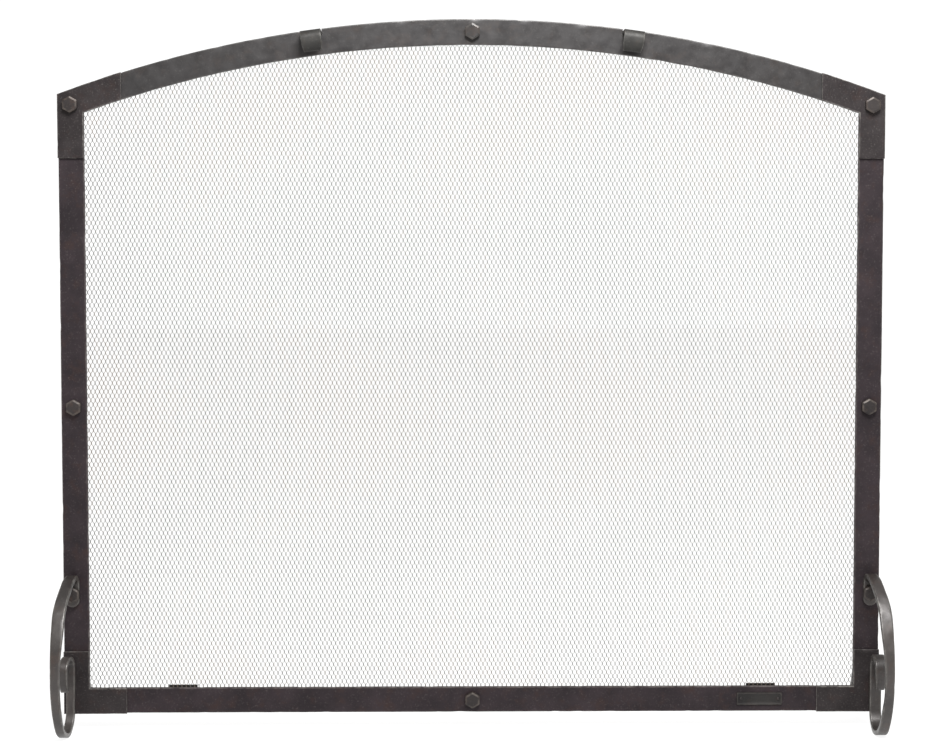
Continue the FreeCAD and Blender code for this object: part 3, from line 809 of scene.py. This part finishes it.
def bent_path(start, heading, runs, step):
    """Follows straight runs (length, 0) and arcs (radius, turn) in the plane of Y and Z.

    Gives the distance along the path, the points, and the unit normals to the left of it.
    """
    point, heading = np.array(start, dtype=float), math.radians(heading)
    lengths, points, normals = [0.0], [point], [np.array([-math.sin(heading), math.cos(heading)])]
    for reach, turn in runs:
        swing = math.radians(turn)
        length = reach if turn == 0 else reach * abs(swing)
        pieces = max(2, round(length / step), round(abs(turn) / ARC_STEP))
        for _ in range(pieces):
            chord = length / pieces
            if turn:
                chord = 2 * reach * math.sin(abs(swing) / pieces / 2)
            heading += swing / pieces / 2
            point = point + chord * np.array([math.cos(heading), math.sin(heading)])
            heading += swing / pieces / 2
            lengths.append(lengths[-1] + length / pieces)
            points.append(point)
            normals.append(np.array([-math.sin(heading), math.cos(heading)]))
    return np.array(lengths), np.array(points), np.array(normals)


def bent_sweep(name, path, thickness, edges, radius, pose=None, flats=5):
    """A strap along a bent path: edges(along) gives its two sides in X, and pose moves it at the end."""
    lengths, points, normals = path

    def place(along, u, v):
        at = [np.interp(along, lengths, column) for column in (*points.T, *normals.T)]
        left, right = edges(along)
        x, y, z = between(left, right, u), at[0] + v * at[2], at[1] + v * at[3]
        return pose(x, y, z) if pose else (x, y, z)

    def width(along):
        left, right = edges(along)
        return abs(right - left)

    return sweep(name, lengths, width, thickness, place, radius, flats)


def ease(value):
    """A smooth step from 0 to 1."""
    value = min(1.0, max(0.0, value))
    return value * value * (3 - 2 * value)


def sine(degrees):
    return math.sin(math.radians(degrees))


def cosine(degrees):
    return math.cos(math.radians(degrees))


def scroll_feet():
    """A forged bar lapped on each stile, drawn narrower as it bends over the top and scrolls down."""
    half = FOOT_THICKNESS / 2
    below_crown = FOOT_HEIGHT - CROWN_RADIUS * (1 - cosine(CROWN_TURN))
    sole_start = below_crown - FRONT_RADIUS * cosine(CROWN_TURN) - LOWER_RADIUS * sine(LOWER_TURN)
    sole_radius = sole_start / (1 - cosine(SOLE_TURN))
    runs = [
        (FOOT_HEIGHT - LAP_BEND_RADIUS - LAP_BOTTOM, 0),
        (LAP_BEND_RADIUS - half, 90),
        (CROWN_RADIUS - half, CROWN_DRAWN),
        (CROWN_RADIUS - half, CROWN_TURN - CROWN_DRAWN),
        (FRONT_RADIUS - half, 90 - CROWN_TURN),
        (LOWER_RADIUS - half, LOWER_TURN),
        (sole_radius - half, SOLE_TURN),
        (HEEL_RADIUS - half, 90),
        (RISER_HEIGHT - HEEL_RADIUS, 0),
        (EYE_RADIUS - half, 180),
        (TIP_RADIUS - half, TIP_TURN),
    ]
    path = bent_path((BAR_FRONT - half, LAP_BOTTOM), 90, runs, FOOT_STEP)
    ends = np.cumsum([0.0] + [reach * math.radians(turn) if turn else reach for reach, turn in runs])
    round_end = LAP_WIDTH / 2
    for side, name in SIDE_NAMES.items():
        sides = np.array(FOOT_SIDES + SCROLL_SIDES[side])

        def edges(along, side=side, sides=sides):
            run = min(int(np.searchsorted(ends, along, side="right")), len(runs)) - 1
            drawn = ease((along - ends[run]) / (ends[run + 1] - ends[run]))
            middle, width = (1 - drawn) * sides[run] + drawn * sides[run + 1]
            centre, reach = middle * MM, width * MM / 2
            if along < round_end:
                reach = max(LAP_TIP, math.sqrt(round_end**2 - (round_end - along) ** 2))
            return side * (centre - reach), side * (centre + reach)

        label = f"{name}_scroll_foot"
        foot = bent_sweep(label, path, FOOT_THICKNESS, edges, FORGED_EDGE)
        holes = bolt_holes(f"{name}_foot")
        flat_bar(label, foot, holes, FORGED_STEEL, FOOT_MARKS, 20 + side)


def rear_legs():
    """Bars lapped behind the stiles, sloping back and down to level toes."""
    half = LEG_THICKNESS / 2
    leg_top, toe_end = span("left_rear_leg", 2)[1], span("left_rear_leg", 1)[1]
    start = (RETAINER_BACK + half, leg_top)
    toe_turn = 90 - LEG_TURN
    drop = leg_top - LEG_LAP - half
    slope = drop - LEG_BEND_RADIUS * sine(LEG_TURN) - TOE_BEND_RADIUS * (1 - cosine(toe_turn))
    slope /= cosine(LEG_TURN)
    bends = LEG_BEND_RADIUS * (1 - cosine(LEG_TURN)) + TOE_BEND_RADIUS * sine(toe_turn)
    toe = toe_end - start[0] - bends - slope * sine(LEG_TURN)
    runs = [
        (LEG_LAP, 0),
        (LEG_BEND_RADIUS, LEG_TURN),
        (slope, 0),
        (TOE_BEND_RADIUS, toe_turn),
        (toe, 0),
    ]
    path = bent_path(start, -90, runs, LEG_STEP)
    for side, name in SIDE_NAMES.items():
        sides = [side * (LAP_OFFSET - LEG_WIDTH / 2), side * (LAP_OFFSET + LEG_WIDTH / 2)]
        label = f"{name}_rear_leg"
        leg = bent_sweep(label, path, LEG_THICKNESS, lambda along: sides, BAR_EDGE)
        holes = bolt_holes(f"{name}_foot")
        flat_bar(label, leg, holes, FORGED_STEEL, LEG_MARKS, 24 + side)


def lift_handles():
    """Straps from behind the arch bar, over its notched top edge, curled down and in at the front."""
    half = HANDLE_THICKNESS / 2
    top = -HANDLE_SINK - half
    start = (RETAINER_BACK + half, top - HANDLE_REAR_BEND - HANDLE_REAR_LEG)
    runs = [
        (HANDLE_REAR_LEG, 0),
        (HANDLE_REAR_BEND, 90),
        (HANDLE_TOP_RUN, 0),
        (HANDLE_FRONT_BEND, 90),
        (HANDLE_FRONT_DROP, 0),
        (HANDLE_CURL_RADIUS, HANDLE_CURL_TURN),
    ]
    path = bent_path(start, 90, runs, HANDLE_STEP)
    lengths, points, _ = path
    tilt = math.asin(HANDLE_OFFSET / ARCH_RADIUS)
    foot_height = float(arch_height(HANDLE_OFFSET))

    def edges(along):
        below = -np.interp(along, lengths, points[:, 1]) - HANDLE_TAPER_START
        narrowing = max(0.0, below) * (HANDLE_WIDTH - HANDLE_TIP_WIDTH) / HANDLE_TAPER_START
        reach = (HANDLE_WIDTH - narrowing) / 2
        return -reach, reach

    for side, name in SIDE_NAMES.items():

        def pose(x, y, z, side=side):
            turned = side * tilt
            across = side * HANDLE_OFFSET + x * math.cos(turned) + z * math.sin(turned)
            return across, y, foot_height - x * math.sin(turned) + z * math.cos(turned)

        label = f"{name}_lift_handle"
        strap = bent_sweep(label, path, HANDLE_THICKNESS, edges, HANDLE_EDGE, pose, flats=7)
        hammer(strap, HANDLE_MARKS, 28 + side)
        # Only the rear leg is bored: the curl in front of the bar is whole.
        holes = [hole_at(f"{name}_handle_rivet", RIVET_HOLE)]
        strap = bore(strap, holes, front=RETAINER_BACK - HOLE_CLEARANCE)
        add_piece(label, strap, HANDLE_STEEL)


# ---------------- fasteners


def hexagon_radius(angle):
    """Distance to a hexagon's rounded outline, with a corner at angle 0."""
    within = (angle + math.pi / 3) % (math.pi / 3) - math.pi / 6
    return min(BOLT_FLATS / 2 / math.cos(within), BOLT_FLATS / math.sqrt(3) * CORNER_REACH)


# Points round a hexagon: close together at the corners, with a corner straight up.
HEX_ANGLES = [
    math.radians(60 * side + offset) + math.pi / 2
    for side in range(6)
    for offset in (-9, -3.5, 3.5, 9, 20, 30, 40)
]


def turned_ring(centre, y, radius):
    """A ring round the Y axis; radius is a number or a function of the angle."""
    x, _, z = centre
    reach = [radius(a) if callable(radius) else radius for a in HEX_ANGLES]
    outline = zip(reach, HEX_ANGLES)
    return np.array([(x + r * math.cos(a), y, z + r * math.sin(a)) for r, a in outline])


def hexagon(inset):
    """A hexagon's outline, moved in by inset, as a radius for each angle."""
    return lambda angle: hexagon_radius(angle - math.pi / 2) * (1 - 2 * inset / BOLT_FLATS)


def hex_rings(centre, seat, free, bore_radius, bevel):
    """Rings of a hexagonal head or nut from its free end to its seat, with the wear of each."""
    away = math.copysign(1, free - seat)
    drop = bevel * math.tan(math.radians(BEVEL_ANGLE))
    stages = [
        (free, bore_radius, 0.0),
        (free, hexagon(bevel + STRIP_EDGE), 0.0),
        (free, hexagon(bevel), 0.5),
        (free - away * drop, hexagon(STRIP_EDGE / 3), 0.7),
        (free - away * (drop + STRIP_EDGE), hexagon(0.0), 0.3),
        (seat + away * STRIP_EDGE, hexagon(0.0), 0.1),
        (seat, hexagon(STRIP_EDGE), 0.1),
    ]
    return [turned_ring(centre, y, radius) for y, radius, _ in stages], [worn for *_, worn in stages]


def thread_rings(centre, start, tip):
    """Rings along a bolt's thread, by turns on its crests and in its grooves, and round its tip."""
    rings = [turned_ring(centre, start, BOLT_RADIUS)]
    y, deep = start, True
    while y + THREAD_PITCH / 2 < tip - THREAD_DEPTH:
        y += THREAD_PITCH / 2
        rings.append(turned_ring(centre, y, BOLT_RADIUS - (THREAD_DEPTH if deep else 0.0)))
        deep = not deep
    rings.append(turned_ring(centre, tip - TIP_LENGTH, BOLT_RADIUS - TIP_STEP))
    rings.append(turned_ring(centre, tip, BOLT_RADIUS - TIP_BEVEL))
    return rings


def bolts_and_nuts():
    for name in BOLTS:
        bolt, nut = f"{name}_bolt", f"{name}_nut"
        front, tip = span(bolt, 1)
        seat, free = span(nut, 1)
        centre = middle(bolt)
        rings, wear = hex_rings(centre, front + BOLT_HEAD, front, BOLT_RADIUS / 2, HEAD_BEVEL)
        rings.append(turned_ring(centre, front + BOLT_HEAD, BOLT_RADIUS))
        rings += thread_rings(centre, free - THREAD_PITCH, tip)
        wear += [0.0] * (len(rings) - len(wear))
        mesh = loft(bolt, rings, wear)
        mesh.set_sharp_from_angle(angle=math.radians(BOLT_SHARP))
        finish = CROWN_STEEL if name == "crown" else FASTENER_STEEL
        add_piece(bolt, mesh, finish)
        rings, wear = hex_rings(centre, seat, free, BOLT_HOLE, NUT_BEVEL)
        bottom = turned_ring(centre, seat, BOLT_HOLE)
        mesh = tube(nut, [*rings, bottom], [*wear, 0.0])
        mesh.set_sharp_from_angle(angle=math.radians(BOLT_SHARP))
        add_piece(nut, mesh, FASTENER_STEEL)


def round_headed(node, seat, shank_radius, head_radius, steps=6):
    """A domed head that bears on its seat, with a shank to the front end of the node's box."""
    low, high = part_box(node)
    centre = (low + high) / 2
    rings, wear = [], []
    for step in range(1, steps + 1):
        angle = math.pi / 2 * step / steps
        y = seat + (high.y - seat) * math.cos(angle)
        rings.append(turned_ring(centre, y, head_radius * math.sin(angle)))
        wear.append(0.8 - 0.6 * step / steps)
    rings.append(turned_ring(centre, seat, shank_radius))
    rings.append(turned_ring(centre, low.y, shank_radius))
    return loft(node, rings, wear + [0.0, 0.0])


def rivets_and_screws():
    for name in SIDE_NAMES.values():
        label = f"{name}_handle_rivet"
        seat = RETAINER_BACK + HANDLE_THICKNESS
        rivet = round_headed(label, seat, RIVET_RADIUS, RIVET_HEAD_RADIUS)
        add_piece(label, rivet, FORGED_STEEL)
        label = f"{name}_clip_screw"
        seat = span(f"{name}_mesh_clip", 1)[1]
        screw = round_headed(label, seat, SCREW_RADIUS, SCREW_HEAD_RADIUS)
        add_piece(label, screw, FASTENER_STEEL)


def rounded_rectangle(centre, half_x, half_z, y):
    """A ring in a plane of Y, with corners rounded by a short arc."""
    radius = min(BADGE_CORNER, half_x, half_z)
    points = []
    for quarter, (sign_x, sign_z) in enumerate(((1, 1), (-1, 1), (-1, -1), (1, -1))):
        for step in range(4):
            angle = math.radians(90 * quarter + 30 * step)
            x = centre[0] + sign_x * (half_x - radius) + radius * math.cos(angle)
            points.append((x, y, centre[1] + sign_z * (half_z - radius) + radius * math.sin(angle)))
    return np.array(points)


def badge():
    """A blank plate: its rim stands above a sunk field, with holes for its two pins."""
    (left, front, bottom), (right, back, top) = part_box("blank_badge_plate")
    centre = ((left + right) / 2, (bottom + top) / 2)
    half_x, half_z = (right - left) / 2, (top - bottom) / 2

    def outline(inset, y):
        return rounded_rectangle(centre, half_x - inset, half_z - inset, y)

    rings = [
        outline(0.0, back),
        outline(0.0, front + STRIP_EDGE),
        outline(STRIP_EDGE / 2, front),
        outline(BADGE_RIM, front),
        outline(BADGE_RIM + STRIP_EDGE, front + BADGE_SINK),
    ]
    plate = loft("blank_badge_plate", rings, [0.2, 0.6, 1.0, 1.0, 0.0])
    flat_bar("blank_badge_plate", plate, pin_holes(), BADGE_METAL, BADGE_MARKS, 33)


# ---------------- the mesh


def room_for_bonds(x, z):
    """Whether a bond at each place would lie inside the mesh's outline and clear of the bolts."""
    room = (np.abs(x) < MESH_EDGE - BOND_WIDTH) & (z - BOND_REACH > MESH_BOTTOM)
    safe_x = np.minimum(np.abs(x), MESH_EDGE)
    room &= z + BOND_REACH + BOND_WIDTH < arch_height(safe_x, MESH_INSET)
    for hole_x, hole_z, radius in bolt_holes(*BOLTS):
        room &= np.hypot(x - hole_x, z - hole_z) > radius + BOND_REACH
    return room


def bond_grid():
    """The bonds' centres, and each one's neighbours: by row, above or below, and by side.

    A neighbour is the number of a bond, or -1 if there is none.
    """
    rows = np.arange(math.ceil((ARCH_TOP - MESH_BOTTOM) / (MESH_PITCH_UP / 2)) + 1)
    half_columns = math.ceil(MESH_EDGE / MESH_PITCH_ACROSS) + 1
    columns = np.arange(-half_columns, half_columns + 1)
    row, column = np.meshgrid(rows, columns, indexing="ij")
    x = (column + 0.5 * (row % 2)) * MESH_PITCH_ACROSS
    z = MESH_BOTTOM + (row + 0.5) * MESH_PITCH_UP / 2
    inside = room_for_bonds(x, z)
    # The bonds' numbers on the grid, with an empty border round it.
    index = np.full((len(rows) + 2, len(columns) + 2), -1)
    index[1:-1, 1:-1][inside] = np.arange(inside.sum())
    neighbours = {}
    for side in (LEFT, RIGHT):
        # Odd rows stand half a pitch to the right of even ones.
        shift = np.where(row % 2 == 0, -(side == LEFT), side == RIGHT)
        for up in (ABOVE, BELOW):
            found = index[row + up + 1, column + shift + half_columns + 1]
            neighbours[up, side] = found[inside]
    centres = np.column_stack([x[inside], np.zeros(inside.sum()), z[inside]])
    return centres, neighbours


def bond_points():
    """A bond's points round its centre, in the order of their numbers."""
    low, high = span("mesh_panel", 1)
    ridge_y, back_y = low + RIDGE_DEPTH, high - FLAT_DEPTH
    points = []
    for end in (1, -1):
        corner_z = end * BOND_LENGTH / 2
        points += [
            (-BOND_WIDTH / 2, back_y - STRAND_LEAN, corner_z),
            (BOND_WIDTH / 2, back_y + STRAND_LEAN, corner_z),
            (0.0, back_y, corner_z + end * CROTCH),
            (0.0, ridge_y, corner_z),
        ]
    return np.array(points)


def corners(bonds, *places):
    """The numbers of some of the points of each bond, one row for each bond."""
    return np.column_stack([bonds * BOND_POINTS + place for place in places])


def bond_faces(bonds):
    """The three long sides of each bond, and the flat at the back of each of its ends."""
    quads = [
        corners(bonds, TOP[LEFT], TOP["ridge"], BOTTOM["ridge"], BOTTOM[LEFT]),
        corners(bonds, TOP["ridge"], TOP[RIGHT], BOTTOM[RIGHT], BOTTOM["ridge"]),
        corners(bonds, TOP[RIGHT], TOP[LEFT], BOTTOM[LEFT], BOTTOM[RIGHT]),
    ]
    triangles = [
        corners(bonds, TOP[LEFT], TOP[RIGHT], TOP["crotch"]),
        corners(bonds, BOTTOM[RIGHT], BOTTOM[LEFT], BOTTOM["crotch"]),
    ]
    return quads, triangles


def strand_faces(side, bonds, above, below):
    """The strands that rise to one side, and the caps where a bond has none on that side."""
    linked = above >= 0
    outer, crotch, ridge = corners(bonds[linked], TOP[side], TOP["crotch"], TOP["ridge"]).T
    far = corners(above[linked], BOTTOM["crotch"], BOTTOM[-side], BOTTOM["ridge"])
    far_crotch, far_outer, far_ridge = far.T
    quads = [
        np.column_stack([outer, ridge, far_ridge, far_crotch]),
        np.column_stack([ridge, crotch, far_outer, far_ridge]),
        np.column_stack([crotch, outer, far_crotch, far_outer]),
    ]
    caps = [
        corners(bonds[~linked], TOP[side], TOP["crotch"], TOP["ridge"]),
        corners(bonds[below < 0], BOTTOM[side], BOTTOM["ridge"], BOTTOM["crotch"]),
    ]
    if side == LEFT:
        # The left side mirrors the right one, so its faces turn the other way.
        quads = [face[:, ::-1] for face in quads]
        caps = [face[:, ::-1] for face in caps]
    return quads, caps


def bond_tones(centres):
    """Each bond's tone: it changes from patch to patch, with single bonds that differ."""
    chooser = np.random.default_rng(TONE_SEED)
    # Waves about a third of a metre long make the patches.
    wave = np.sin(centres[:, 0] * 21 + 2.1 * np.sin(centres[:, 2] * 13))
    patch = wave + np.cos(centres[:, 2] * 17)
    return np.digitize(patch + chooser.normal(0, TONE_SPREAD, len(centres)), TONE_LIMITS)


def mesh_screen():
    """Expanded metal: staggered upright bonds, each joined to its four neighbours by slanting strands.

    A strand has a ridge in front and a flat back. A bond has four points at each end: its left and
    right corners, the crotch between its two strands, and the ridge.
    """
    centres, neighbours = bond_grid()
    bonds = np.arange(len(centres))
    points = (centres[:, None, :] + bond_points()[None, :, :]).reshape(-1, 3)
    quads, triangles = bond_faces(bonds)
    for side in (LEFT, RIGHT):
        above, below = neighbours[ABOVE, side], neighbours[BELOW, side]
        strands, caps = strand_faces(side, bonds, above, below)
        quads += strands
        triangles += caps
    faces = [tuple(face) for group in quads + triangles for face in group.tolist()]
    mesh = bpy.data.meshes.new("mesh_screen")
    mesh.from_pydata(points.tolist(), [], faces)
    mesh.polygons.foreach_set("use_smooth", np.ones(len(faces), dtype=bool))
    add_piece("mesh_panel", mesh, MESH_TONES[0], name="mesh_screen")
    for tone in MESH_TONES[1:]:
        mesh.materials.append(tone)
    owners = np.array([face[0] for face in faces]) // BOND_POINTS
    mesh.polygons.foreach_set("material_index", bond_tones(centres)[owners].astype(np.int32))


# ---------------- the studio


FLOOR_REACH = 12.0
FLOOR_GREY = 0.22
FLOOR_GLOW = 0.89
BACKGROUND_STRENGTH = 1.1
FILL_STRENGTH = 0.6
FILL_COLOUR = (1.0, 0.985, 0.965)
LENS = 81.1
SENSOR_WIDTH = 36.0
CAMERA_PLACE = (-0.034, -2.514, 0.574)
TILT_DOWN = 3.543
TURN_RIGHT = 0.846


def glowing_material(name, grey, glow):
    """A matt grey that glows until it is nearly white, as a lit studio table does."""
    recipe = Recipe(name)
    matt = {"Base Color": (grey, grey, grey, 1.0), "Roughness": 0.9, "Specular IOR Level": 0.1}
    lit = {"Emission Color": (1.0, 1.0, 1.0, 1.0), "Emission Strength": glow}
    set_inputs(recipe.shader, {**matt, **lit})
    return recipe.material


def floor():
    """A wide sheet for the screen to stand on."""
    far = FLOOR_REACH
    points = [(-far, -far, 0), (far, -far, 0), (far, far, 0), (-far, far, 0)]
    mesh = bpy.data.meshes.new("floor")
    mesh.from_pydata(points, [], [(0, 1, 2, 3)])
    mesh.materials.append(glowing_material("pale_floor", FLOOR_GREY, FLOOR_GLOW))
    item = bpy.data.objects.new("floor", mesh)
    bpy.context.collection.objects.link(item)


def area_light(name, place, target, size, power):
    data = bpy.data.lights.new(name, "AREA")
    data.shape = "RECTANGLE"
    data.size, data.size_y = size
    data.energy = power
    lamp = bpy.data.objects.new(name, data)
    lamp.location = place
    lamp.rotation_euler = (Vector(target) - Vector(place)).to_track_quat("-Z", "Y").to_euler()
    bpy.context.collection.objects.link(lamp)


def lights():
    """Two lamps high in front of the screen, and a weak one over its right foot."""
    area_light("key", (0.4, -1.5, 2.35), (0.08, 0.0, 0.75), (1.0, 0.35), 50)
    area_light("front", (0.14, -1.5, 1.72), (0.05, 0.0, 0.75), (0.5, 0.25), 33)
    area_light("overhead", (0.5, -0.55, 1.8), (0.45, -0.05, 0.15), (0.4, 0.3), 5)


def surroundings():
    """A white backdrop for the camera, and a weaker, slightly warm fill for everything else."""
    world = bpy.data.worlds.new("Studio")
    bpy.context.scene.world = world
    world.use_nodes = True
    nodes, links = world.node_tree.nodes, world.node_tree.links
    nodes.clear()
    output = nodes.new("ShaderNodeOutputWorld")
    seen, fill = nodes.new("ShaderNodeBackground"), nodes.new("ShaderNodeBackground")
    set_inputs(seen, {"Color": (1, 1, 1, 1), "Strength": BACKGROUND_STRENGTH})
    set_inputs(fill, {"Color": (*FILL_COLOUR, 1), "Strength": FILL_STRENGTH})
    path, choose = nodes.new("ShaderNodeLightPath"), nodes.new("ShaderNodeMixShader")
    links.new(path.outputs["Is Camera Ray"], choose.inputs["Fac"])
    links.new(fill.outputs[0], choose.inputs[1])
    links.new(seen.outputs[0], choose.inputs[2])
    links.new(choose.outputs[0], output.inputs["Surface"])


def camera():
    """Stands just left of the middle and looks slightly down and to its right."""
    data = bpy.data.cameras.new("Camera")
    data.lens = LENS
    data.sensor_width = SENSOR_WIDTH
    item = bpy.data.objects.new("Camera", data)
    item.location = CAMERA_PLACE
    item.rotation_euler = (math.radians(90 - TILT_DOWN), 0.0, math.radians(-TURN_RIGHT))
    bpy.context.collection.objects.link(item)
    bpy.context.scene.camera = item


def badge_pins():
    """The badge's pins keep their CAD shape and only get their finish."""
    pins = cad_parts["badge_pins"]
    pins.data.materials.clear()
    pins.data.materials.append(FASTENER_STEEL)


frame_bars()
corner_plates()
mesh_retainers()
scroll_feet()
rear_legs()
lift_handles()
bolts_and_nuts()
rivets_and_screws()
badge()
mesh_screen()
badge_pins()
floor()
lights()
surroundings()
camera()
bpy.context.scene.view_settings.view_transform = "Standard"
